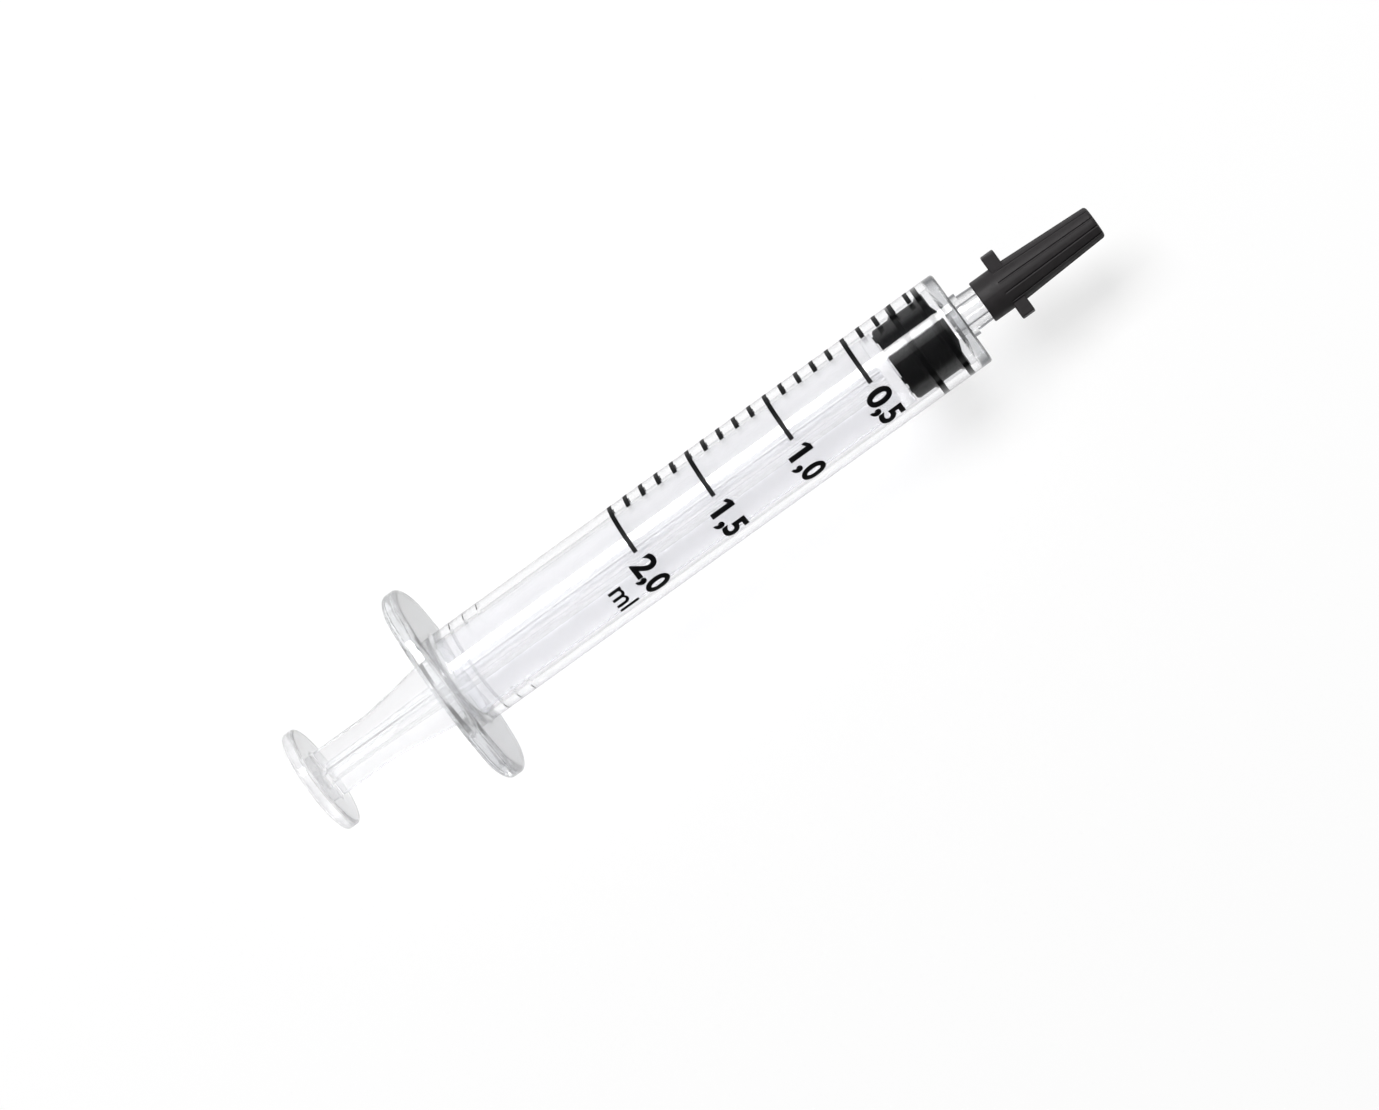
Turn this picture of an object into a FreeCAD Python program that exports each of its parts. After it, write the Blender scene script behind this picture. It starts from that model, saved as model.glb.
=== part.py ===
import FreeCAD
import Part
import Sketcher
import os

# A 2 ml three-part syringe with its tip cap, lying on its side.
# Its axis runs along +X towards the tip. The finger flange's long way is along Y.
# The origin is on the surface it lies on, below the middle of its box.
# Each piece is drawn about its own axis, and its Placement seats it in the syringe.

SIZES = [
    ("bore_diameter", 8.4, "inside of the tube, which fixes how far 1 ml reaches"),
    ("wall_thickness", 0.8, "tube wall"),
    ("barrel_length", 60.4, "flange's rear face to the nose face"),
    ("end_wall", 1.2, "thickness of the closed end"),
    ("shoulder_round", 0.35, "round at the nose's outer edge"),
    ("mouth_chamfer", 0.35, "lead-in at the open end of the bore"),
    ("flange_length", 21.2, "across the finger flange, long way"),
    ("flange_width", 17.3, "across the finger flange, short way"),
    ("flange_thickness", 1.8, "along the axis"),
    ("flange_side_radius", 16.0, "bow of the flange's long sides"),
    ("flange_corner_radius", 3.0, "where an end meets a long side"),
    ("flange_edge_round", 0.6, "rim, front and back"),
    ("flange_root_round", 0.4, "where the tube leaves the flange"),
    ("retention_first", 3.7, "flange's rear face to the first retention ring"),
    ("retention_spacing", 1.6, "between retention rings"),
    ("retention_count", 3, "rings inside the mouth"),
    ("retention_height", 0.06, "how far a ring stands into the bore"),
    ("retention_width", 1.0, "ring's foot"),
    ("retention_crest", 0.3, "ring's top"),
    ("base_ring_diameter", 4.6, "low ring round the foot of the luer cone"),
    ("base_ring_height", 0.6, "along the axis"),
    ("luer_base_diameter", 3.9, "cone where it leaves the base ring"),
    ("luer_taper", 0.06, "loss of diameter for each mm along the cone"),
    ("luer_length", 9.0, "nose face to the cone's tip"),
    ("luer_bore", 2.2, "passage through the nose and the cone"),
    ("luer_tip_round", 0.2, "outer edge of the cone's tip"),
    ("home_gap", 0.3, "stopper's nose to the end wall, plunger fully home"),
    ("stopper_length", 6.3, "rear face to the tip of the nose"),
    ("stopper_body_gap", 0.32, "stopper's body to the bore, on radius"),
    ("sealing_gap", 0.04, "sealing ribs to the bore, on radius"),
    ("rear_rib_at", 2.3, "stopper's rear face to the rear sealing rib"),
    ("front_rib_at", 5.25, "stopper's rear face to the front sealing rib"),
    ("rib_width", 0.55, "each sealing rib"),
    ("rib_flare", 0.38, "slope that leads up to each rib from behind"),
    ("rear_edge_chamfer", 0.2, "stopper's rear outer edge"),
    ("front_edge_chamfer", 0.1, "stopper's front outer edge"),
    ("nose_height", 0.4, "low cone on the stopper's front"),
    ("nose_foot_diameter", 5.3, "where the low cone starts"),
    ("nose_tip_diameter", 3.1, "its flat top"),
    ("nub_count", 4, "nubs on the stopper's rear face that meet the head disc"),
    ("nub_diameter", 0.8, "each nub"),
    ("nub_height", 0.17, "each nub"),
    ("nub_ring_diameter", 6.6, "circle that the nubs are on"),
    ("nub_roll", -28.0, "degrees from straight up to the first nub"),
    ("rod_gap", 0.3, "plunger rod to the bore, on radius"),
    ("rod_slim_diameter", 5.0, "over the ribs, beside the thumb disc"),
    ("rod_rib_thickness", 1.1, "each of the four ribs"),
    ("flare_start", 5.6, "thumb disc's front to where the ribs start to widen"),
    ("flare_bend", 1.9, "length of the curve that starts the flare"),
    ("flare_bend_rise", 0.13, "how far the ribs have widened over that curve"),
    ("flare_end", 16.3, "thumb disc's front to the ribs' full width"),
    ("thumb_standoff", 14.2, "thumb disc's front to the flange, plunger fully home"),
    ("thumb_diameter", 11.0, "thumb disc"),
    ("thumb_thickness", 1.3, "thumb disc"),
    ("thumb_edge_round", 0.35, "thumb disc's rim"),
    ("thumb_root_round", 0.4, "where the ribs leave the thumb disc"),
    ("head_disc_thickness", 1.2, "disc that pushes on the stopper"),
    ("head_seat_gap", 0.2, "head disc to the stopper's rear face, which the nubs take up"),
    ("neck_diameter", 2.4, "of the knob that holds the stopper"),
    ("neck_length", 1.2, "head disc to the knob"),
    ("knob_diameter", 4.2, "knob's widest"),
    ("knob_land", 0.5, "length of the knob's widest stretch"),
    ("knob_length", 3.0, "whole knob, past the neck"),
    ("knob_tip_diameter", 2.2, "knob's flat tip"),
    ("socket_gap", 0.06, "stopper's socket to the neck and knob, all round"),
    ("rod_roll", 12.0, "degrees the rod lies turned about its axis"),
    ("cap_standoff", 2.3, "nose face to the cap's mouth"),
    ("cap_length", 13.0, "tip cap, mouth to end"),
    ("skirt_diameter", 4.4, "cap's plain mouth end"),
    ("skirt_length", 2.25, "cap's mouth to the lugs"),
    ("skirt_edge_round", 0.12, "outer edge of the cap's mouth"),
    ("lug_span", 7.1, "over both lugs"),
    ("lug_width", 2.5, "across a lug"),
    ("lug_thickness", 1.4, "along the axis"),
    ("lug_edge_round", 0.15, "lug's corners"),
    ("grip_base_diameter", 4.36, "tapered grip beside the lugs"),
    ("grip_tip_diameter", 3.4, "tapered grip at its end"),
    ("grip_end_round", 0.35, "round at the grip's end"),
    ("flute_count", 12, "grooves round the grip"),
    ("flute_radius", 0.13, "of each groove"),
    ("luer_seat_gap", 0.03, "cap's socket to the luer cone, on radius"),
    ("socket_floor_gap", 0.3, "cone's tip to the floor of the cap's socket"),
    ("scale_zero_setback", 0.2, "end wall's inner face to the scale's zero"),
    ("graduation_volume", 100.0, "cubic mm from one mark to the next, 0.1 ml"),
    ("mark_count", 20, "marks, the last one at 2 ml"),
    ("marks_per_long", 5, "every fifth mark is a long one"),
    ("mark_width", 0.46, "printed line"),
    ("mark_edge_angle", 5.0, "degrees from the barrel's side to where all marks start"),
    ("long_mark_angle", 85.0, "degrees round the barrel"),
    ("short_mark_angle", 34.0, "degrees round the barrel"),
    ("ink_thickness", 0.02, "printed layer"),
]

# Places worked out from the sizes, measured along the axis from the flange's rear face,
# and the radii and diameters that pieces share.
LAYOUT = [
    ("bore_radius", "sizes.bore_diameter / 2"),
    ("barrel_radius", "layout.bore_radius + sizes.wall_thickness"),
    ("axis_height", "sizes.flange_width / 2"),
    ("inner_end", "sizes.barrel_length - sizes.end_wall"),
    ("luer_foot", "sizes.barrel_length + sizes.base_ring_height"),
    ("luer_tip", "sizes.barrel_length + sizes.luer_length"),
    ("luer_base_radius", "sizes.luer_base_diameter / 2"),
    ("luer_tip_radius",
     "layout.luer_base_radius - sizes.luer_taper / 2 * (layout.luer_tip - layout.luer_foot)"),
    ("stopper_rear", "layout.inner_end - sizes.home_gap - sizes.stopper_length"),
    ("stopper_radius", "layout.bore_radius - sizes.stopper_body_gap"),
    ("sealing_radius", "layout.bore_radius - sizes.sealing_gap"),
    ("stopper_face", "sizes.stopper_length - sizes.nose_height"),
    ("neck_end", "sizes.neck_length - sizes.head_seat_gap"),
    ("thumb_front", "-sizes.thumb_standoff"),
    ("rod_reach", "layout.stopper_rear - sizes.head_seat_gap - layout.thumb_front"),
    ("rod_length", "layout.rod_reach - sizes.head_disc_thickness"),
    ("rod_radius", "layout.bore_radius - sizes.rod_gap"),
    ("slim_radius", "sizes.rod_slim_diameter / 2"),
    ("cap_mouth", "sizes.barrel_length + sizes.cap_standoff"),
    ("seat_mouth_radius",
     "layout.luer_base_radius + sizes.luer_seat_gap"
     " - sizes.luer_taper / 2 * (layout.cap_mouth - layout.luer_foot)"),
    ("seat_depth", "layout.luer_tip - layout.cap_mouth + sizes.socket_floor_gap"),
    ("seat_floor_radius", "layout.seat_mouth_radius - sizes.luer_taper / 2 * layout.seat_depth"),
    ("lug_front", "sizes.skirt_length + sizes.lug_thickness"),
    ("flute_start_radius",
     "sizes.grip_base_diameter / 2 + sizes.lug_thickness"
     " * (sizes.grip_base_diameter - sizes.grip_tip_diameter) / 2"
     " / (sizes.cap_length - layout.lug_front)"),
    ("scale_zero", "layout.inner_end - sizes.scale_zero_setback"),
    ("mark_spacing", "sizes.graduation_volume / (pi * layout.bore_radius ^ 2)"),
    ("tail", "layout.thumb_front - sizes.thumb_thickness"),
    ("tip", "layout.cap_mouth + sizes.cap_length"),
    ("origin_shift", "-(layout.tail + layout.tip) / 2"),
]

HAIR = 1e-3  # mm, how near an edge must be to the place that it is looked for
TURNED = "PartDesign::Revolution"
GROOVED = "PartDesign::Groove"
ALONG_X = FreeCAD.Rotation(FreeCAD.Vector(1, 1, 1), 120)

doc = FreeCAD.newDocument("syringe")

sizes = doc.addObject("Spreadsheet::Sheet", "sizes")
for row, (alias, value, note) in enumerate(SIZES, start=1):
    sizes.set(f"A{row}", alias)
    sizes.set(f"B{row}", str(value))
    sizes.set(f"C{row}", note)
    sizes.setAlias(f"B{row}", alias)
doc.recompute()

layout = doc.addObject("App::VarSet", "layout")
for name, _ in LAYOUT:
    layout.addProperty("App::PropertyFloat", name, "Layout", "")
for name, formula in LAYOUT:
    layout.setExpression(name, formula)
doc.recompute()


def size(alias):
    """One driving size, as a number."""
    return float(sizes.get(alias))


# Sketches, in a body's own planes

def new_body(name, along, turned=False):
    """A body whose own origin sits on the axis, this far along from the flange's rear face."""
    body = doc.addObject("PartDesign::Body", name)
    body.Label = name
    if turned:
        body.Placement.Rotation = FreeCAD.Rotation(FreeCAD.Vector(1, 0, 0), size("rod_roll"))
        body.setExpression("Placement.Rotation.Angle", "sizes.rod_roll * 1 deg")
    body.setExpression("Placement.Base.x", f"layout.origin_shift + ({along})")
    body.setExpression("Placement.Base.z", "layout.axis_height")
    return body


def new_sketch(body, name, plane, along=None):
    """A sketch on one of the body's own planes. On YZ_Plane it can sit further along the axis."""
    sketch = body.newObject("Sketcher::SketchObject", name)
    support = next(f for f in body.Origin.OriginFeatures if f.Role == plane)
    sketch.AttachmentSupport = [(support, "")]
    sketch.MapMode = "FlatFace"
    if along is not None:
        sketch.setExpression("AttachmentOffset.Base.z", along)
    return sketch


def value(formula):
    """What a formula comes to now. None stands for zero."""
    return 0.0 if formula is None else float(layout.evalExpression(formula))


def bind(sketch, kind, geometry, formula):
    """A constraint on some geometry whose value is a formula."""
    index = sketch.addConstraint(Sketcher.Constraint(kind, *geometry, value(formula)))
    sketch.setExpression(f"Constraints[{index}]", formula)


def join(sketch, edge, end, other, other_end):
    sketch.addConstraint(Sketcher.Constraint("Coincident", edge, end, other, other_end))


def pin(sketch, edge, end, x, y):
    """Holds one point of an edge at formulas x and y. None means on that axis."""
    if x is None:
        sketch.addConstraint(Sketcher.Constraint("PointOnObject", edge, end, -2))
    else:
        bind(sketch, "DistanceX", (-1, 1, edge, end), x)
    if y is None:
        sketch.addConstraint(Sketcher.Constraint("PointOnObject", edge, end, -1))
    else:
        bind(sketch, "DistanceY", (-1, 1, edge, end), y)


def outline(sketch, corners, last_edge="line"):
    """A closed outline of straight edges through corners given as formulas.
    Its last edge can be an arc that sets out level from its first end and bends upward."""
    points = [FreeCAD.Vector(value(x), value(y), 0) for x, y in corners]
    first = sketch.GeometryCount
    for start, end in zip(points[:-1], points[1:]):
        sketch.addGeometry(Part.LineSegment(start, end), False)
    start, end = points[-1], points[0]
    if last_edge == "line":
        sketch.addGeometry(Part.LineSegment(start, end), False)
    else:
        run = end.x - start.x
        radius = (run ** 2 + (end.y - start.y) ** 2) / 2 / (end.y - start.y)
        sag = radius - (radius ** 2 - run ** 2 / 4) ** 0.5
        middle = start + FreeCAD.Vector(run / 2, sag, 0)
        arc = sketch.addGeometry(Part.Arc(start, middle, end), False)
        sketch.addConstraint(Sketcher.Constraint("Vertical", arc, 3, arc, 1))
    count = len(corners)
    for i, (x, y) in enumerate(corners):
        join(sketch, first + i, 2, first + (i + 1) % count, 1)
        pin(sketch, first + i, 1, x, y)


def circle(sketch, radius, x=None, y=None):
    """A circle with its radius and its middle given as formulas. None means on that axis."""
    middle = FreeCAD.Vector(value(x), value(y), 0)
    made = Part.Circle(middle, FreeCAD.Vector(0, 0, 1), value(radius))
    ring = sketch.addGeometry(made, False)
    bind(sketch, "Radius", (ring,), radius)
    pin(sketch, ring, 3, x, y)


def turn(body, kind, name, corners):
    """Turns an outline of (along, radius) corners about the axis, added or cut."""
    sketch = new_sketch(body, f"{name}_outline", "XZ_Plane")
    outline(sketch, corners)
    return turn_sketch(body, kind, name, sketch)


def turn_sketch(body, kind, name, sketch):
    feature = body.newObject(kind, name)
    feature.Profile = sketch
    feature.ReferenceAxis = (sketch, ["H_Axis"])
    feature.Angle = 360
    doc.recompute()
    return feature


def repeat_round(body, name, feature, count):
    """Repeats a feature evenly about the body's own axis."""
    pattern = body.newObject("PartDesign::PolarPattern", name)
    pattern.Originals = [feature]
    axis = next(f for f in body.Origin.OriginFeatures if f.Role == "X_Axis")
    pattern.Axis = (axis, [""])
    pattern.Angle = 360
    pattern.setExpression("Occurrences", count)
    body.Tip = pattern
    doc.recompute()
    return pattern


def round_edges(body, name, radius, wanted):
    """Rounds the edges of the body so far that the test picks out."""
    base = body.Tip
    names = [f"Edge{i}" for i, edge in enumerate(base.Shape.Edges, start=1) if wanted(edge)]
    feature = body.newObject("PartDesign::Fillet", name)
    feature.Base = (base, names)
    feature.setExpression("Radius", f"sizes.{radius}")
    doc.recompute()
    return feature


def lies_at(edge, along):
    """True if the whole edge is in the plane across the axis at this place."""
    box = edge.BoundBox
    return abs(box.XMin - along) < HAIR and abs(box.XMax - along) < HAIR


def reach(edge):
    """The furthest that an edge gets from the axis."""
    points = edge.discretize(9)
    return max((p.y ** 2 + p.z ** 2) ** 0.5 for p in points)


def is_corner(edge):
    """True for a straight edge along the axis, apart from the seams of round faces,
    which lie on the body's own middle planes."""
    box = edge.BoundBox
    is_seam = min(abs(box.Center.y), abs(box.Center.z)) < HAIR
    return max(box.YLength, box.ZLength) < HAIR and not is_seam


def is_ring(edge, along, radius):
    """True for a circle about the axis at this place."""
    return lies_at(edge, along) and abs(reach(edge) - radius) < HAIR and edge.Closed


# Barrel: one clear moulding of tube, finger flange, end wall and luer cone

barrel = new_body("barrel", "0")
turn(barrel, TURNED, "tube_and_cone", [
    (None, None),
    (None, "layout.barrel_radius"),
    ("sizes.barrel_length", "layout.barrel_radius"),
    ("sizes.barrel_length", "sizes.base_ring_diameter / 2"),
    ("layout.luer_foot", "sizes.base_ring_diameter / 2"),
    ("layout.luer_foot", "layout.luer_base_radius"),
    ("layout.luer_tip", "layout.luer_tip_radius"),
    ("layout.luer_tip", None),
])
round_edges(barrel, "shoulder", "shoulder_round",
            lambda e: is_ring(e, size("barrel_length"), layout.barrel_radius))
round_edges(barrel, "cone_tip", "luer_tip_round",
            lambda e: is_ring(e, layout.luer_tip, layout.luer_tip_radius))

flange_disc = new_sketch(barrel, "flange_disc_outline", "YZ_Plane")
circle(flange_disc, "sizes.flange_length / 2")
flange = barrel.newObject("PartDesign::Pad", "flange")
flange.Profile = flange_disc
flange.setExpression("Length", "sizes.flange_thickness")
doc.recompute()


def lens(sketch):
    """The flange's two bowed long sides, run on until they meet in points past its ends."""
    bow = size("flange_side_radius")
    rise = size("flange_width") / 2
    half = (bow ** 2 - (bow - rise) ** 2) ** 0.5
    arcs = []
    for side in (1, -1):
        ends = [FreeCAD.Vector(side * half, 0, 0), FreeCAD.Vector(-side * half, 0, 0)]
        crown = FreeCAD.Vector(0, side * rise, 0)
        arc = sketch.addGeometry(Part.Arc(ends[0], crown, ends[1]), False)
        bind(sketch, "Radius", (arc,), "sizes.flange_side_radius")
        pin(sketch, arc, 3, None,
            f"{-side} * (sizes.flange_side_radius - sizes.flange_width / 2)")
        arcs.append(arc)
    upper, lower = arcs
    join(sketch, upper, 2, lower, 1)
    join(sketch, lower, 2, upper, 1)


flange_sides = new_sketch(barrel, "flange_sides_outline", "YZ_Plane")
outline(flange_sides, [
    ("sizes.flange_length * 2", "sizes.flange_length * 2"),
    ("-sizes.flange_length * 2", "sizes.flange_length * 2"),
    ("-sizes.flange_length * 2", "-sizes.flange_length * 2"),
    ("sizes.flange_length * 2", "-sizes.flange_length * 2"),
])
lens(flange_sides)
trim = barrel.newObject("PartDesign::Pocket", "flange_trim")
trim.Profile = flange_sides
trim.Reversed = True
trim.setExpression("Length", "sizes.flange_thickness")
doc.recompute()
round_edges(barrel, "flange_corners", "flange_corner_radius", is_corner)
round_edges(barrel, "flange_rim", "flange_edge_round",
            lambda e: (lies_at(e, 0) or lies_at(e, size("flange_thickness")))
            and reach(e) > layout.barrel_radius + HAIR)
round_edges(barrel, "flange_root", "flange_root_round",
            lambda e: is_ring(e, size("flange_thickness"), layout.barrel_radius))
turn(barrel, GROOVED, "bore", [
    (None, None),
    (None, "layout.bore_radius + sizes.mouth_chamfer"),
    ("sizes.mouth_chamfer", "layout.bore_radius"),
    ("layout.inner_end", "layout.bore_radius"),
    ("layout.inner_end", "sizes.nose_foot_diameter / 2"),
    ("layout.inner_end + sizes.nose_height", "sizes.nose_tip_diameter / 2"),
    ("layout.inner_end + sizes.nose_height", "sizes.luer_bore / 2"),
    ("layout.luer_tip", "sizes.luer_bore / 2"),
    ("layout.luer_tip", None),
])
retention_ring = turn(barrel, TURNED, "retention_ring", [
    ("sizes.retention_first - sizes.retention_width / 2", "layout.bore_radius"),
    ("sizes.retention_first - sizes.retention_crest / 2",
     "layout.bore_radius - sizes.retention_height"),
    ("sizes.retention_first + sizes.retention_crest / 2",
     "layout.bore_radius - sizes.retention_height"),
    ("sizes.retention_first + sizes.retention_width / 2", "layout.bore_radius"),
])
rings = barrel.newObject("PartDesign::LinearPattern", "retention_rings")
rings.Originals = [retention_ring]
rings.Direction = (retention_ring.Profile[0], ["H_Axis"])
rings.setExpression("Length", "sizes.retention_spacing * (sizes.retention_count - 1)")
rings.setExpression("Occurrences", "sizes.retention_count")
barrel.Tip = rings
doc.recompute()

# Stopper: one rubber moulding, snapped over the rod's knob

stopper = new_body("stopper", "layout.stopper_rear")
turn(stopper, TURNED, "rubber", [
    (None, None),
    (None, "layout.stopper_radius - sizes.rear_edge_chamfer"),
    ("sizes.rear_edge_chamfer", "layout.stopper_radius"),
    ("sizes.rear_rib_at - sizes.rib_flare", "layout.stopper_radius"),
    ("sizes.rear_rib_at", "layout.sealing_radius"),
    ("sizes.rear_rib_at + sizes.rib_width", "layout.sealing_radius"),
    ("sizes.rear_rib_at + sizes.rib_width", "layout.stopper_radius"),
    ("sizes.front_rib_at - sizes.rib_flare", "layout.stopper_radius"),
    ("sizes.front_rib_at", "layout.sealing_radius"),
    ("sizes.front_rib_at + sizes.rib_width", "layout.sealing_radius"),
    ("layout.stopper_face", "layout.sealing_radius - sizes.front_edge_chamfer"),
    ("layout.stopper_face", "sizes.nose_foot_diameter / 2"),
    ("sizes.stopper_length", "sizes.nose_tip_diameter / 2"),
    ("sizes.stopper_length", None),
])
turn(stopper, GROOVED, "knob_socket", [
    (None, None),
    (None, "sizes.neck_diameter / 2 + sizes.socket_gap"),
    ("layout.neck_end - sizes.socket_gap", "sizes.neck_diameter / 2 + sizes.socket_gap"),
    ("layout.neck_end - sizes.socket_gap", "sizes.knob_diameter / 2 + sizes.socket_gap"),
    ("layout.neck_end + sizes.knob_land", "sizes.knob_diameter / 2 + sizes.socket_gap"),
    ("layout.neck_end + sizes.knob_length + sizes.socket_gap",
     "sizes.knob_tip_diameter / 2 + sizes.socket_gap"),
    ("layout.neck_end + sizes.knob_length + sizes.socket_gap", None),
])
nub_outline = new_sketch(stopper, "nub_outline", "YZ_Plane")
circle(nub_outline, "sizes.nub_diameter / 2",
       "sizes.nub_ring_diameter / 2 * sin(sizes.nub_roll * 1 deg)",
       "sizes.nub_ring_diameter / 2 * cos(sizes.nub_roll * 1 deg)")
nub = stopper.newObject("PartDesign::Pad", "nub")
nub.Profile = nub_outline
nub.Reversed = True
nub.setExpression("Length", "sizes.nub_height")
doc.recompute()
repeat_round(stopper, "nubs", nub, "sizes.nub_count")

# Plunger rod: one clear moulding of thumb disc, four ribs, head disc and knob

plunger_rod = new_body("plunger_rod", "layout.thumb_front", turned=True)
turn(plunger_rod, TURNED, "thumb_disc", [
    ("-sizes.thumb_thickness", None),
    ("-sizes.thumb_thickness", "sizes.thumb_diameter / 2"),
    (None, "sizes.thumb_diameter / 2"),
    (None, None),
])
round_edges(plunger_rod, "thumb_rim", "thumb_edge_round",
            lambda e: e.Closed and abs(reach(e) - size("thumb_diameter") / 2) < HAIR)
cross = new_sketch(plunger_rod, "cross_outline", "YZ_Plane")
rib_side = "sizes.rod_rib_thickness / 2"
rib_tip = "layout.rod_radius"
outline(cross, [
    (rib_side, rib_side), (rib_side, rib_tip), (f"-{rib_side}", rib_tip),
    (f"-{rib_side}", rib_side), (f"-{rib_tip}", rib_side), (f"-{rib_tip}", f"-{rib_side}"),
    (f"-{rib_side}", f"-{rib_side}"), (f"-{rib_side}", f"-{rib_tip}"), (rib_side, f"-{rib_tip}"),
    (rib_side, f"-{rib_side}"), (rib_tip, f"-{rib_side}"), (rib_tip, rib_side),
])
ribs = plunger_rod.newObject("PartDesign::Pad", "cross_ribs")
ribs.Profile = cross
ribs.setExpression("Length", "layout.rod_length")
doc.recompute()

flare = new_sketch(plunger_rod, "flare_outline", "XZ_Plane")
clear_of_ribs = "layout.rod_radius * 1.5"
outline(flare, [
    ("sizes.flare_start + sizes.flare_bend", "layout.slim_radius + sizes.flare_bend_rise"),
    ("sizes.flare_end", "layout.rod_radius"),
    ("layout.rod_length", "layout.rod_radius"),
    ("layout.rod_length", clear_of_ribs),
    (None, clear_of_ribs),
    (None, "layout.slim_radius"),
    ("sizes.flare_start", "layout.slim_radius"),
], last_edge="arc")
turn_sketch(plunger_rod, GROOVED, "flare", flare)
turn(plunger_rod, TURNED, "head", [
    ("layout.rod_length", None),
    ("layout.rod_length", "layout.rod_radius"),
    ("layout.rod_reach", "layout.rod_radius"),
    ("layout.rod_reach", "sizes.neck_diameter / 2"),
    ("layout.rod_reach + sizes.neck_length", "sizes.neck_diameter / 2"),
    ("layout.rod_reach + sizes.neck_length", "sizes.knob_diameter / 2"),
    ("layout.rod_reach + sizes.neck_length + sizes.knob_land", "sizes.knob_diameter / 2"),
    ("layout.rod_reach + sizes.neck_length + sizes.knob_length", "sizes.knob_tip_diameter / 2"),
    ("layout.rod_reach + sizes.neck_length + sizes.knob_length", None),
])
round_edges(plunger_rod, "thumb_root", "thumb_root_round",
            lambda e: lies_at(e, 0) and reach(e) < layout.slim_radius + HAIR)

# Tip cap: one black moulding that seats on the luer cone

tip_cap = new_body("tip_cap", "layout.cap_mouth")
turn(tip_cap, TURNED, "skirt_and_grip", [
    (None, None),
    (None, "sizes.skirt_diameter / 2"),
    ("sizes.skirt_length", "sizes.skirt_diameter / 2"),
    ("layout.lug_front", "sizes.grip_base_diameter / 2"),
    ("sizes.cap_length", "sizes.grip_tip_diameter / 2"),
    ("sizes.cap_length", None),
])
round_edges(tip_cap, "mouth_edge", "skirt_edge_round",
            lambda e: is_ring(e, 0, size("skirt_diameter") / 2))
round_edges(tip_cap, "grip_end", "grip_end_round",
            lambda e: is_ring(e, size("cap_length"), size("grip_tip_diameter") / 2))
flute_ends = []
for name, along, radius in (
    ("flute_start", "sizes.skirt_length", "layout.flute_start_radius"),
    ("flute_end", "sizes.cap_length", "sizes.grip_tip_diameter / 2"),
):
    flute_end = new_sketch(tip_cap, name, "YZ_Plane", along)
    circle(flute_end, "sizes.flute_radius",
           f"({radius}) * sin(180 deg / sizes.flute_count)",
           f"({radius}) * cos(180 deg / sizes.flute_count)")
    flute_ends.append(flute_end)
flute = tip_cap.newObject("PartDesign::SubtractiveLoft", "flute")
flute.Profile = flute_ends[0]
flute.Sections = [flute_ends[1]]
doc.recompute()
repeat_round(tip_cap, "flutes", flute, "sizes.flute_count")


def bar_with_round_ends(sketch, span, width):
    """A bar across the axis whose ends lie on a circle about the axis."""
    radius = size(span) / 2
    rise = size(width) / 2
    run = (radius ** 2 - rise ** 2) ** 0.5
    ends = []
    for side in (1, -1):
        start = FreeCAD.Vector(side * run, -side * rise, 0)
        crown = FreeCAD.Vector(side * radius, 0, 0)
        stop = FreeCAD.Vector(side * run, side * rise, 0)
        end = sketch.addGeometry(Part.Arc(start, crown, stop), False)
        bind(sketch, "Radius", (end,), f"sizes.{span} / 2")
        pin(sketch, end, 3, None, None)
        bind(sketch, "DistanceY", (-1, 1, end, 1), f"{-side} * sizes.{width} / 2")
        bind(sketch, "DistanceY", (-1, 1, end, 2), f"{side} * sizes.{width} / 2")
        ends.append(end)
    for this, other, side in ((ends[0], ends[1], 1), (ends[1], ends[0], -1)):
        start = FreeCAD.Vector(side * run, side * rise, 0)
        stop = FreeCAD.Vector(-side * run, side * rise, 0)
        edge = sketch.addGeometry(Part.LineSegment(start, stop), False)
        join(sketch, this, 2, edge, 1)
        join(sketch, edge, 2, other, 1)


lug_outline = new_sketch(tip_cap, "lug_outline", "YZ_Plane", "sizes.skirt_length")
bar_with_round_ends(lug_outline, "lug_span", "lug_width")
lugs = tip_cap.newObject("PartDesign::Pad", "lugs")
lugs.Profile = lug_outline
lugs.setExpression("Length", "sizes.lug_thickness")
doc.recompute()
round_edges(tip_cap, "lug_edges", "lug_edge_round",
            lambda e: reach(e) > size("lug_span") / 2 - HAIR)
turn(tip_cap, GROOVED, "luer_seat", [
    (None, None),
    (None, "layout.seat_mouth_radius"),
    ("layout.seat_depth", "layout.seat_floor_radius"),
    ("layout.seat_depth", None),
])

# Scale: marks printed round the barrel, each a thin curved patch of ink
# A patch is where a thin shell on the barrel meets one sector of the comb.

def cylinder(name, radius, height, along, angle=None):
    """A cylinder about the axis, or a sector of one that starts at the barrel's +Y side."""
    made = doc.addObject("Part::Cylinder", name)
    made.Placement.Rotation = ALONG_X
    made.setExpression("Radius", radius)
    made.setExpression("Height", height)
    made.setExpression("Placement.Base.x", along)
    if angle is not None:
        made.setExpression("Angle", angle)
    return made


ink_skin = cylinder("ink_skin", "layout.barrel_radius + sizes.ink_thickness",
                    "layout.inner_end", "0")
barrel_skin = cylinder("barrel_skin", "layout.barrel_radius", "layout.inner_end", "0")
shell = doc.addObject("Part::Cut", "ink_shell")
shell.Base = ink_skin
shell.Tool = barrel_skin

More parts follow.
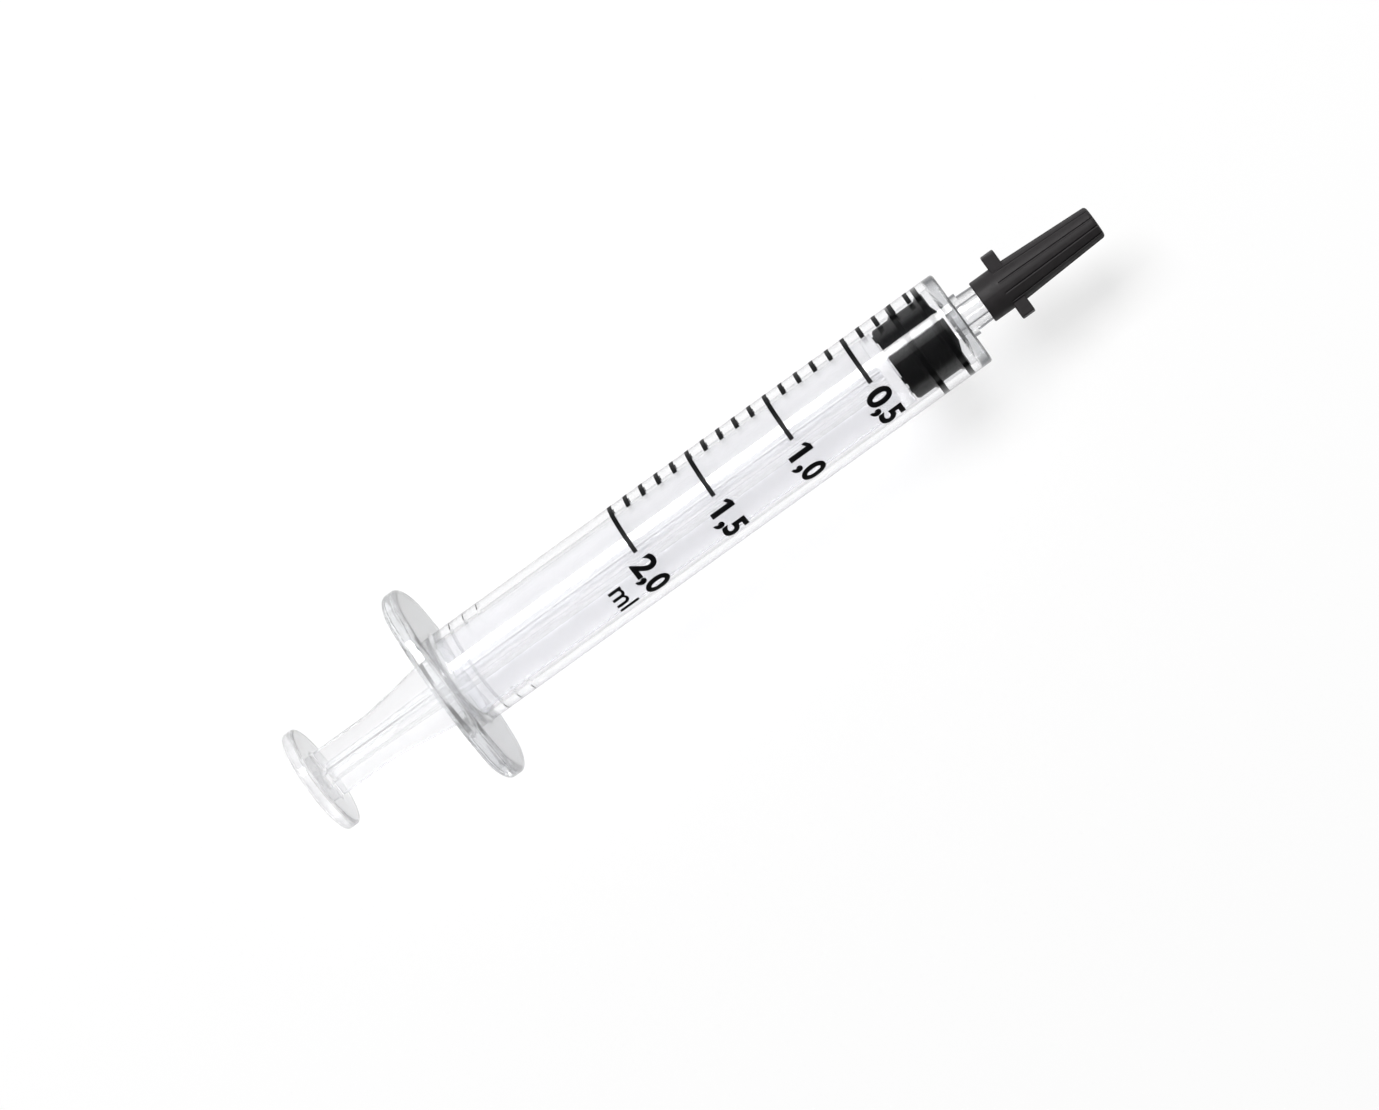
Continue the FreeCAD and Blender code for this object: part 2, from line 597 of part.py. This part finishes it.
sectors = []
for number in range(1, int(size("mark_count")) + 1):
    is_long = number % int(size("marks_per_long")) == 0
    sectors.append(cylinder(
        f"mark_{number}", "layout.barrel_radius * 1.2", "sizes.mark_width",
        f"layout.scale_zero - {number} * layout.mark_spacing - sizes.mark_width / 2",
        "sizes.long_mark_angle" if is_long else "sizes.short_mark_angle"))
comb = doc.addObject("Part::Compound", "comb")
comb.Links = sectors
comb.Placement.Rotation = FreeCAD.Rotation(FreeCAD.Vector(1, 0, 0), size("mark_edge_angle"))
comb.setExpression("Placement.Rotation.Angle", "sizes.mark_edge_angle * 1 deg")

scale_marks = doc.addObject("Part::MultiCommon", "scale_marks")
scale_marks.Label = "scale_marks"
scale_marks.Shapes = [shell, comb]
scale_marks.setExpression("Placement.Base.x", "layout.origin_shift")
scale_marks.setExpression("Placement.Base.z", "layout.axis_height")
doc.recompute()

# Every object is checked before anything is written

failed = [o.Name for o in doc.Objects if {"Invalid", "Error"} & set(o.State)]
if failed:
    raise RuntimeError(f"these failed to build: {failed}")
pieces = [barrel, stopper, plunger_rod, tip_cap, scale_marks]
for piece in pieces:
    if piece.Shape.isNull() or not piece.Shape.isValid() or not piece.Shape.Solids:
        raise RuntimeError(f"{piece.Label} has no sound shape")

os.makedirs("parts", exist_ok=True)
for piece in pieces:
    piece.Shape.exportStep(f"parts/{piece.Label}.step")
    print(piece.Label, len(piece.Shape.Solids), "solids", round(piece.Shape.Volume, 3), "cubic mm")
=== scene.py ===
import math
import bmesh
import bpy
from mathutils import Matrix, Vector


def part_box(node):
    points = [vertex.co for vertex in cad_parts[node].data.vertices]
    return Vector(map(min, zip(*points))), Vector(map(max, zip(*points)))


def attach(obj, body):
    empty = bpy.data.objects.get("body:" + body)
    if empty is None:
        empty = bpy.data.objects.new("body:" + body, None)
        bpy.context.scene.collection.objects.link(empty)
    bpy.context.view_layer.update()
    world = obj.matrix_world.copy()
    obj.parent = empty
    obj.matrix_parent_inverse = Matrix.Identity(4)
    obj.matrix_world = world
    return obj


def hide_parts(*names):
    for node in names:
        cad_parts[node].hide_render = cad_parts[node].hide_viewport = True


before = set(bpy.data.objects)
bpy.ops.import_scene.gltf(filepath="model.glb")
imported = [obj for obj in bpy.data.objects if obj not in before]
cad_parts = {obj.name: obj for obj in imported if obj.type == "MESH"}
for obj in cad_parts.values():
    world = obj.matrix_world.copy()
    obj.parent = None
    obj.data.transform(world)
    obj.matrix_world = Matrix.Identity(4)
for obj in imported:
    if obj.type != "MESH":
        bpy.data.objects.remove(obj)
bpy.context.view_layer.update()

# Where the syringe lies
# Its axis runs level along +X to the tip, AXIS_UP above the table, because the oval finger
# flange stands on its long side. Every place along it is counted from the flange's rear face.

MM = 0.001
FLANGE_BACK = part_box("barrel")[0].x
AXIS_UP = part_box("barrel")[1].z / 2


def along(mm):
    """A place along the axis, in mm from the flange's rear face, as x in the frame."""
    return FLANGE_BACK + mm * MM


# Camera
# It hangs 39 cm over the syringe and looks almost straight down, a little from the tip's end,
# turned so that the tip points up to the right.

EYE = Vector((0.0304, 0.0006, AXIS_UP + 0.390))
AIM = Vector((-0.0037, -0.00318, AXIS_UP))
TURN = math.radians(35.74)
LENS = 107.9

sight = (AIM - EYE).normalized()
level = Vector((1, 0, 0)) - sight * sight.x
level.normalize()
across = (-sight).cross(level)
right = level * math.cos(TURN) - across * math.sin(TURN)
up = level * math.sin(TURN) + across * math.cos(TURN)
camera = bpy.data.objects.new("camera", bpy.data.cameras.new("camera"))
camera.data.lens = LENS
camera.data.sensor_width = 36
camera.data.clip_start = 0.01
camera.matrix_world = Matrix.Translation(EYE) @ Matrix((right, up, -sight)).transposed().to_4x4()
bpy.context.collection.objects.link(camera)
bpy.context.scene.camera = camera
bpy.context.scene.view_settings.view_transform = "Standard"

# Table and light
# A white acrylic table top in a tent of pale cloth, dark overhead. One strip softbox over the
# far side draws the long highlight on the tube.


def linear(hexed):
    """An sRGB hex colour as linear red, green, blue and alpha."""
    shares = [int(hexed[i:i + 2], 16) / 255 for i in (1, 3, 5)]
    return [s / 12.92 if s <= 0.04045 else ((s + 0.055) / 1.055) ** 2.4 for s in shares] + [1]


def put(tree, kind, inputs=None, **settings):
    """Adds a node with its settings. An input is a value, or another node's output."""
    node = tree.nodes.new(kind)
    for name, value in settings.items():
        setattr(node, name, value)
    for name, value in (inputs or {}).items():
        if isinstance(value, bpy.types.NodeSocket):
            tree.links.new(value, node.inputs[name])
        else:
            node.inputs[name].default_value = value
    return node


def new_material(name):
    material = bpy.data.materials.new(name)
    material.use_nodes = True
    material.node_tree.nodes.clear()
    return material


def show(tree, shader, kind="ShaderNodeOutputMaterial"):
    put(tree, kind, {"Surface": shader})


def seen_or_mirrored(tree):
    """1 for what the camera sees, straight, in a gloss or through the plastic, and else 0."""
    path = put(tree, "ShaderNodeLightPath").outputs
    seen = path["Is Camera Ray"]
    for also in ("Is Glossy Ray", "Is Transmission Ray"):
        seen = put(tree, "ShaderNodeMath", {0: seen, 1: path[also]}, operation="MAXIMUM").outputs[0]
    return seen


def dark_studio(tree):
    """How far a dark studio takes the tent's place, and painted black the table's further out:
    wholly in a gloss, partly through plastic.
    """
    path = put(tree, "ShaderNodeLightPath").outputs
    return put(tree, "ShaderNodeMath", {
        0: path["Is Transmission Ray"], 1: -PALE_THROUGH, 2: path["Is Glossy Ray"]},
        operation="MULTIPLY_ADD", use_clamp=True).outputs[0]


TABLE_WHITE = "#fafafa"
TABLE_GLOW = 0.75
TABLE_SPAN = 4.0
MIRRORED_TO, MIRRORED_NONE = 0.016, 0.055
PALE_THROUGH = 0.6

acrylic = new_material("white acrylic table")
nodes = acrylic.node_tree
share = put(nodes, "ShaderNodeMath", {0: seen_or_mirrored(nodes), 1: TABLE_GLOW},
            operation="MULTIPLY").outputs[0]
lit = put(nodes, "ShaderNodeBsdfDiffuse", {"Color": linear(TABLE_WHITE)}).outputs[0]
glow = put(nodes, "ShaderNodeEmission", {"Color": linear("#ffffff"), "Strength": 1.0}).outputs[0]
white = put(nodes, "ShaderNodeMixShader", {0: share, 1: lit, 2: glow}).outputs[0]

# Gloss and clear plastic show the table beside the syringe, and further out it is painted black for
# them: a painted dark studio.
spot = put(nodes, "ShaderNodeTexCoord").outputs["Object"]
sideways = put(nodes, "ShaderNodeMath", {
    0: put(nodes, "ShaderNodeSeparateXYZ", {0: spot}).outputs["Y"]}, operation="ABSOLUTE")
painted_dark_share = put(nodes, "ShaderNodeMapRange", {
    "Value": sideways.outputs[0], "From Min": MIRRORED_TO, "From Max": MIRRORED_NONE,
    "To Max": dark_studio(nodes)}, interpolation_type="SMOOTHSTEP").outputs[0]
dark = put(nodes, "ShaderNodeBsdfDiffuse", {"Color": linear("#000000")}).outputs[0]
show(nodes, put(nodes, "ShaderNodeMixShader", {0: painted_dark_share, 1: white, 2: dark}).outputs[0])

made = bmesh.new()
bmesh.ops.create_grid(made, x_segments=1, y_segments=1, size=TABLE_SPAN / 2)
mesh = bpy.data.meshes.new("table_top")
made.to_mesh(mesh)
made.free()
mesh.materials.append(acrylic)
table_top = bpy.data.objects.new("table_top", mesh)
bpy.context.collection.objects.link(table_top)

TENT_WALL = 0.9
TENT_TOP = 0.12
WALL_ENDS = 0.10
TOP_STARTS = 0.42
ROOM_WALL, ROOM_TOP = 0.35, 0.03
SPILL = 1.3
SPILL_FADES = 5.0
SPILL_NEAR, SPILL_FAR = (-25, 15), (60, 36)
tent = bpy.data.worlds.new("cloth tent")
bpy.context.scene.world = tent
tent.use_nodes = True
nodes = tent.node_tree
nodes.nodes.clear()
path = put(nodes, "ShaderNodeLightPath").outputs
way = put(nodes, "ShaderNodeSeparateXYZ",
          {0: put(nodes, "ShaderNodeTexCoord").outputs["Generated"]}).outputs
cloth, dark = [put(nodes, "ShaderNodeMapRange", {
    "Value": way["Z"], "From Min": WALL_ENDS, "From Max": TOP_STARTS,
    "To Min": wall, "To Max": top}, interpolation_type="SMOOTHSTEP").outputs[0]
    for wall, top in ((TENT_WALL, TENT_TOP), (ROOM_WALL, ROOM_TOP))]

# Gloss and clear plastic show it as dark as a studio, apart from what spills round the strip.
lean = put(nodes, "ShaderNodeMath", {0: way["Y"], 1: way["Z"]}, operation="ARCTAN2").outputs[0]
rise, fall = [put(nodes, "ShaderNodeMapRange", {
    "Value": lean, "From Min": math.radians(start), "From Max": math.radians(end)}).outputs[0]
    for start, end in (SPILL_NEAR, SPILL_FAR)]
spill = put(nodes, "ShaderNodeMath", {0: rise, 1: fall}, operation="MINIMUM").outputs[0]
spill = put(nodes, "ShaderNodeMath", {0: spill, 1: SPILL_FADES}, operation="POWER").outputs[0]
room = put(nodes, "ShaderNodeMath", {0: spill, 1: SPILL, 2: dark},
           operation="MULTIPLY_ADD").outputs[0]
strength = put(nodes, "ShaderNodeMix",
               {"Factor": dark_studio(nodes), "A": cloth, "B": room}).outputs[0]
lamp = put(nodes, "ShaderNodeBackground", {"Color": linear("#ffffff"), "Strength": strength})
white = put(nodes, "ShaderNodeBackground", {"Color": linear("#ffffff"), "Strength": 1.0})
show(nodes, put(nodes, "ShaderNodeMixShader", {
    0: path["Is Camera Ray"], 1: lamp.outputs[0], 2: white.outputs[0]}).outputs[0],
     "ShaderNodeOutputWorld")


def softbox(name, tilt, away, width, length, power, shift=0.0):
    """A softbox tilted from straight overhead towards +Y, its length along the syringe."""
    lamp = bpy.data.objects.new(name, bpy.data.lights.new(name, "AREA"))
    lamp.data.shape = "RECTANGLE"
    lamp.data.size = length
    lamp.data.size_y = width
    lamp.data.energy = power
    lean = math.radians(tilt)
    lamp.location = (shift, away * math.sin(lean), AXIS_UP + away * math.cos(lean))
    lamp.rotation_euler = (-lean, 0, 0)
    bpy.context.collection.objects.link(lamp)


softbox("strip softbox", tilt=33.5, away=0.8, width=0.25, length=0.55, power=7.4, shift=-0.03)

# Barrel
# Polypropylene, injection moulded in a polished mould: clear and glossy in the thin wall of the
# tube, and greyer where it is thick, in the flange, the end wall and the cone. Its edges are
# darkened with painted shade, most of all at the nose.

PLASTIC_IOR = 1.49
LETS_LAMPS_BY = "#f4f4f5"
WHOLE_BARREL = 70.0
FLANGE_FRONT, TUBE_FROM = 1.8, 2.8
NOSE_FROM, NOSE_TO = 59.1, 59.4
CONE_FROM, CONE_TO = 60.3, 60.5

# Colour face-on, painted edge shade and clearness, by place along the axis. The edge-on colours
# are darker than the plastic is: painted shade that stands in for part of the dark room that its
# edges bend into view, above all at the nose.
FACE_ON = ((FLANGE_FRONT, "#e8e9ea"), (TUBE_FROM, "#fbfbfc"), (NOSE_FROM, "#fbfbfc"),
           (NOSE_TO, "#d8d9db"), (CONE_FROM, "#d8d9db"), (CONE_TO, "#f8f8f9"))
EDGE_SHADE = ((FLANGE_FRONT, "#66686c"), (TUBE_FROM, "#808286"), (59.0, "#808286"),
           (NOSE_TO, "#303236"))
CLEARNESS = ((FLANGE_FRONT, 0.76), (2.3, 1.0), (NOSE_FROM, 1.0), (NOSE_TO, 0.8),
             (CONE_FROM, 0.8), (CONE_TO, 0.96))

# How edge-on a face is where its painted edge shade starts and where it is full, on tube and nose.
GRAZES_FROM, GRAZES_TO = (0.58, 0.28), (0.98, 0.62)
FLOW_LOW, FLOW_HIGH = 0.3, 0.7
BARREL_FLOW = {"across": 0.8, "along_it": 40.0, "seed": 3.0, "deep": 0.0002, "haze": (0.006, 0.03)}


def clear_plastic(material, face_on, painted_edge_shade, grazes, roughness, clearness, normal):
    """Clear plastic that lets the lamps through, so that it doesn't cast a solid shadow."""
    nodes = material.node_tree
    # The more edge-on a face, the more painted shade darkens its tint towards the edge colour.
    facing = put(nodes, "ShaderNodeLayerWeight", {"Blend": 0.5}).outputs["Facing"]
    edge_shade_share = put(nodes, "ShaderNodeMapRange", {
        "Value": facing, "From Min": grazes[0], "From Max": grazes[1]},
        interpolation_type="SMOOTHSTEP")
    tint_and_edge_shade = put(nodes, "ShaderNodeMix", {"Factor": edge_shade_share.outputs[0], 6: face_on, 7: painted_edge_shade},
               data_type="RGBA").outputs[2]
    body = put(nodes, "ShaderNodeBsdfPrincipled", {
        "Base Color": tint_and_edge_shade, "Roughness": roughness, "Normal": normal,
        "IOR": PLASTIC_IOR, "Transmission Weight": clearness})
    open_way = put(nodes, "ShaderNodeBsdfTransparent", {"Color": linear(LETS_LAMPS_BY)})
    path = put(nodes, "ShaderNodeLightPath").outputs
    show(nodes, put(nodes, "ShaderNodeMixShader", {
        0: path["Is Shadow Ray"], 1: body.outputs[0], 2: open_way.outputs[0]}).outputs[0])


def flow_marks(tree, across, along_it, seed, deep, haze):
    """Normal and roughness of plastic that flowed along the syringe and left marks, in mm."""
    spot = put(tree, "ShaderNodeTexCoord").outputs["Object"]
    drawn = put(tree, "ShaderNodeMapping", {
        0: spot, "Location": (seed, 0, 0),
        "Scale": (1 / (along_it * MM), 1 / (across * MM), 1 / (across * MM))}).outputs[0]
    flow = put(tree, "ShaderNodeTexNoise",
               {"Vector": drawn, "Scale": 1.0, "Detail": 2.0}).outputs[0]
    normal = put(tree, "ShaderNodeBump", {
        "Height": flow, "Strength": 1.0, "Distance": deep * MM}).outputs[0]
    roughness = put(tree, "ShaderNodeMapRange", {
        "Value": flow, "From Min": FLOW_LOW, "From Max": FLOW_HIGH,
        "To Min": haze[0], "To Max": haze[1]}).outputs[0]
    return normal, roughness


def by_place(tree, place, stops):
    """A colour or a share that changes along the axis, from pairs of mm and value."""
    ramp = put(tree, "ShaderNodeValToRGB", {"Fac": place})
    steps = ramp.color_ramp.elements
    steps.remove(steps[1])
    for number, (at, value) in enumerate(stops):
        stop = steps.new(at / WHOLE_BARREL) if number else steps[0]
        stop.position = at / WHOLE_BARREL
        stop.color = linear(value) if isinstance(value, str) else (value, value, value, 1)
    return ramp.outputs[0]


def dress(node, material):
    """Puts a material on every slot of a CAD node."""
    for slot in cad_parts[node].material_slots:
        slot.material = material


plastic = new_material("polished clear polypropylene")
nodes = plastic.node_tree
place = put(nodes, "ShaderNodeSeparateXYZ",
            {0: put(nodes, "ShaderNodeTexCoord").outputs["Object"]}).outputs["X"]
place = put(nodes, "ShaderNodeMapRange", {
    "Value": place, "From Min": along(0), "From Max": along(WHOLE_BARREL)}).outputs[0]
face_on, painted_edge_shade, clearness = [by_place(nodes, place, stops)
                               for stops in (FACE_ON, EDGE_SHADE, CLEARNESS)]
grazes = [put(nodes, "ShaderNodeMapRange", {
    "Value": place, "From Min": NOSE_FROM / WHOLE_BARREL, "From Max": NOSE_TO / WHOLE_BARREL,
    "To Min": on_tube, "To Max": on_nose}).outputs[0]
    for on_tube, on_nose in (GRAZES_FROM, GRAZES_TO)]
normal, roughness = flow_marks(nodes, **BARREL_FLOW)
clear_plastic(plastic, face_on, painted_edge_shade, grazes, roughness, clearness, normal)
dress("barrel", plastic)

# Printed scale
# Black ink, screen printed on the tube and flamed fast: the marks are the CAD node, and the
# numbers and unit are flat letters wrapped round the tube.

INK_RADIUS = 5.0
INK_DEPTH = 0.02
STRIP = 0.2
NUMBERS = (("2,0", 22.91), ("1,5", 31.93), ("1,0", 40.96), ("0,5", 49.98))
NUMBER_TALL = 2.62
NUMBER_BACK = 0.12
NUMBER_FROM, NUMBER_TO = 0.70, 4.74
NUMBER_BOLD = 0.036
UNIT_AT = 19.4
UNIT_TALL = 2.1
UNIT_FROM, UNIT_TO = 1.70, 4.26
UNIT_BOLD = 0.014
LETTER_STEPS = 6
FLAG = ((0.1, 0.0), (-0.40, -0.36), (-0.40, -0.82), (0.1, -0.50))
CLOUDS = 12
CLOUD_LOW, CLOUD_HIGH = 0.35, 0.65


def opaque(name, colours, roughness, grain, deep, gloss):
    """A dark skin with a relief of fine grain, in mm, and clouds of colour and dullness over it."""
    material = new_material(name)
    nodes = material.node_tree
    spot = put(nodes, "ShaderNodeTexCoord").outputs["Object"]
    coarse, fine = [put(nodes, "ShaderNodeTexNoise", {
        "Vector": spot, "Scale": 1 / (size * MM), "Detail": 2.0}).outputs[0]
        for size in (grain * CLOUDS, grain)]
    colour = put(nodes, "ShaderNodeMix", {
        "Factor": coarse, 6: linear(colours[0]), 7: linear(colours[1])}, data_type="RGBA")
    rough = put(nodes, "ShaderNodeMapRange", {
        "Value": coarse, "From Min": CLOUD_LOW, "From Max": CLOUD_HIGH,
        "To Min": roughness[0], "To Max": roughness[1]}).outputs[0]
    skin = put(nodes, "ShaderNodeBump", {
        "Height": fine, "Strength": 1.0, "Distance": deep * MM}).outputs[0]
    body = put(nodes, "ShaderNodeBsdfPrincipled", {
        "Base Color": colour.outputs[2], "Roughness": rough, "Normal": skin,
        "Specular IOR Level": gloss})
    show(nodes, body.outputs[0])
    return material


def letters(text, bold):
    """Flat letters as a mesh, one font size tall, in the built-in plain font."""
    curve = bpy.data.curves.new(text, "FONT")
    curve.body = text
    curve.size = 1.0
    curve.offset = bold
    curve.resolution_u = LETTER_STEPS
    typed = bpy.data.objects.new(text, curve)
    bpy.context.collection.objects.link(typed)
    bpy.context.view_layer.update()
    mesh = bpy.data.meshes.new_from_object(typed.evaluated_get(
        bpy.context.evaluated_depsgraph_get()))
    flat = bmesh.new()
    flat.from_mesh(mesh)
    bpy.data.objects.remove(typed)
    bpy.data.meshes.remove(mesh)
    bmesh.ops.remove_doubles(flat, verts=flat.verts, dist=1e-5)
    return flat


def reach(flat, axis):
    """The least and the most that a mesh comes to along an axis."""
    places = [v.co[axis] for v in flat.verts]
    return min(places), max(places)


def wrap_print(flat, middle):
    """Bends flat letters, in mm, round the tube, their tops towards the tip."""
    first, last = reach(flat, 0)
    cut = math.floor(first / STRIP) * STRIP
    while cut < last:
        bmesh.ops.bisect_plane(flat, geom=flat.verts[:] + flat.edges[:] + flat.faces[:],
                               dist=1e-6, plane_co=(cut, 0, 0), plane_no=(1, 0, 0))
        cut += STRIP
    bmesh.ops.solidify(flat, geom=flat.faces[:], thickness=INK_DEPTH)
    low = reach(flat, 2)[0]
    for v in flat.verts:
        angle = v.co.x / INK_RADIUS
        out = (INK_RADIUS + v.co.z - low) * MM
        v.co = Vector((along(middle + v.co.y), -out * math.sin(angle),
                       AXIS_UP + out * math.cos(angle)))
    bmesh.ops.recalc_face_normals(flat, faces=flat.faces)


def finished(name, made, material, body):
    """Turns a bmesh into a piece of the syringe that rides on a body."""
    mesh = bpy.data.meshes.new(name)
    made.to_mesh(mesh)
    made.free()
    mesh.materials.append(material)
    piece = bpy.data.objects.new(name, mesh)
    bpy.context.collection.objects.link(piece)
    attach(piece, body)
    return piece


# The screen's mesh leaves the ink a little uneven, so its gloss is broken up and never mirrors.
ink = opaque("black print", ("#050506", "#0d0d0f"), roughness=(0.4, 0.6),
             grain=0.05, deep=0.002, gloss=0.12)
dress("scale_marks", ink)

digit = letters("0", NUMBER_BOLD)
digit_low, digit_high = reach(digit, 1)
digit.free()
pattern = letters("2,0", NUMBER_BOLD)
left_end, right_end = reach(pattern, 0)
pattern.free()
wide = (NUMBER_TO - NUMBER_FROM) / (right_end - left_end)
tall = NUMBER_TALL / (digit_high - digit_low)
for text, middle in NUMBERS:
    flat = letters(text, NUMBER_BOLD)
    if text[0] == "1":
        # The plain font's 1 is a bare bar, so it gets the short flag of the printed one.
        bar_left = reach(flat, 0)[0]
        flat.faces.new([flat.verts.new((bar_left + x / wide, digit_high + y / tall, 0))
                        for x, y in FLAG])
    bmesh.ops.translate(flat, verts=flat.verts,
                        vec=(-left_end, -(digit_low + digit_high) / 2, 0))
    bmesh.ops.scale(flat, verts=flat.verts, vec=(wide, tall, 1))
    bmesh.ops.translate(flat, verts=flat.verts, vec=(NUMBER_FROM, 0, 0))
    wrap_print(flat, middle - NUMBER_BACK)
    finished("number_" + text.replace(",", "_"), flat, ink, "barrel")

flat = letters("ml", UNIT_BOLD)
left_end, right_end = reach(flat, 0)
low_end, high_end = reach(flat, 1)
bmesh.ops.translate(flat, verts=flat.verts, vec=(-left_end, -(low_end + high_end) / 2, 0))
bmesh.ops.scale(flat, verts=flat.verts, vec=(
    (UNIT_TO - UNIT_FROM) / (right_end - left_end), UNIT_TALL / (high_end - low_end), 1))
bmesh.ops.translate(flat, verts=flat.verts, vec=(UNIT_FROM, 0, 0))
wrap_print(flat, UNIT_AT)
finished("unit_ml", flat, ink, "barrel")

# Plunger rod
# The same polypropylene, a little milkier, because its ribs are thick and its mould is less
# polished.

# The edge-on colour is darker than the plastic is: painted shade on the edges of ribs and disc.
ROD_FACE_ON, ROD_EDGE_SHADE = "#f4f4f5", "#d2d3d5"
ROD_GRAZES = (0.35, 0.95)
ROD_CLEARNESS = 0.84
ROD_FLOW = {"across": 1.2, "along_it": 30.0, "seed": 11.0, "deep": 0.0003, "haze": (0.08, 0.15)}

milky = new_material("clear polypropylene rod")
normal, roughness = flow_marks(milky.node_tree, **ROD_FLOW)
clear_plastic(milky, linear(ROD_FACE_ON), linear(ROD_EDGE_SHADE), ROD_GRAZES, roughness,
              ROD_CLEARNESS, normal)
dress("plunger_rod", milky)

# Stopper
# Synthetic rubber, compression moulded and oiled. Its two sealing ribs are squeezed against the
# bore, so that no air is left between them and the wall there.

NUBS, NUB_WIDE, NUB_TALL, NUB_SUNK = 4, 0.8, 0.17, 0.1
NUB_STEPS, NUB_END = 24, 0.42
NUBS_RING, NUBS_TURNED = 3.3, math.radians(-28)
RUBBER_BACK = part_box("stopper")[0].x + NUB_TALL * MM
PRESSED = 4.215
STEPS = 96
SHARP_FROM = math.radians(35)

# Half of its section, as mm from its rear face and mm from the axis, socket first.
HALF_SECTION = (
    (4.06, 0.0), (4.06, 1.16), (1.5, 2.16), (0.94, 2.16), (0.94, 1.26), (0.0, 1.26),
    (0.0, 3.68), (0.2, 3.88), (1.92, 3.88), (2.3, PRESSED), (2.85, PRESSED), (2.87, 3.88),
    (4.87, 3.88), (5.25, PRESSED), (5.78, PRESSED), (5.9, 4.04), (5.9, 2.65), (6.3, 1.55),
    (6.3, 0.0))

rubber = bmesh.new()
corners = [rubber.verts.new((x * MM, 0, r * MM)) for x, r in HALF_SECTION]
edges = [rubber.edges.new(pair) for pair in zip(corners, corners[1:])]
bmesh.ops.spin(rubber, geom=corners + edges, cent=(0, 0, 0), axis=(1, 0, 0),
               angle=math.tau, steps=STEPS, use_merge=True)
bmesh.ops.remove_doubles(rubber, verts=rubber.verts, dist=1e-7)
for nub in range(NUBS):
    turned = math.tau * nub / NUBS + NUBS_TURNED
    place = MM * Vector(((NUB_SUNK - NUB_TALL) / 2, NUBS_RING * math.sin(turned),
                         NUBS_RING * math.cos(turned)))
    bmesh.ops.create_cone(
        rubber, cap_ends=True, segments=NUB_STEPS, radius1=NUB_WIDE * MM / 2,
        radius2=NUB_WIDE * MM * NUB_END, depth=(NUB_TALL + NUB_SUNK) * MM,
        matrix=Matrix.Translation(place) @ Matrix.Rotation(-math.pi / 2, 4, "Y"))
bmesh.ops.recalc_face_normals(rubber, faces=rubber.faces)
bmesh.ops.translate(rubber, verts=rubber.verts, vec=(RUBBER_BACK, 0, AXIS_UP))
for face in rubber.faces:
    face.smooth = True

# The rubber's skin is dull and very finely pitted from its mould, so it gives no clear mirror.
skin = opaque("butyl rubber", ("#060607", "#0b0b0c"), roughness=(0.45, 0.6),
              grain=0.08, deep=0.003, gloss=0.05)
stopper = finished("rubber_stopper", rubber, skin, "stopper")
stopper.data.set_sharp_from_angle(angle=SHARP_FROM)
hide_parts("stopper")

# Tip cap
# Black polypropylene, moulded in a spark-eroded mould, whose fine grain spreads the highlight
# into a soft streak. It is pushed and twisted on to the cone.

dress("tip_cap", opaque("black polypropylene cap", ("#282627", "#302e2f"), roughness=(0.42, 0.56),
                        grain=0.07, deep=0.004, gloss=0.16))
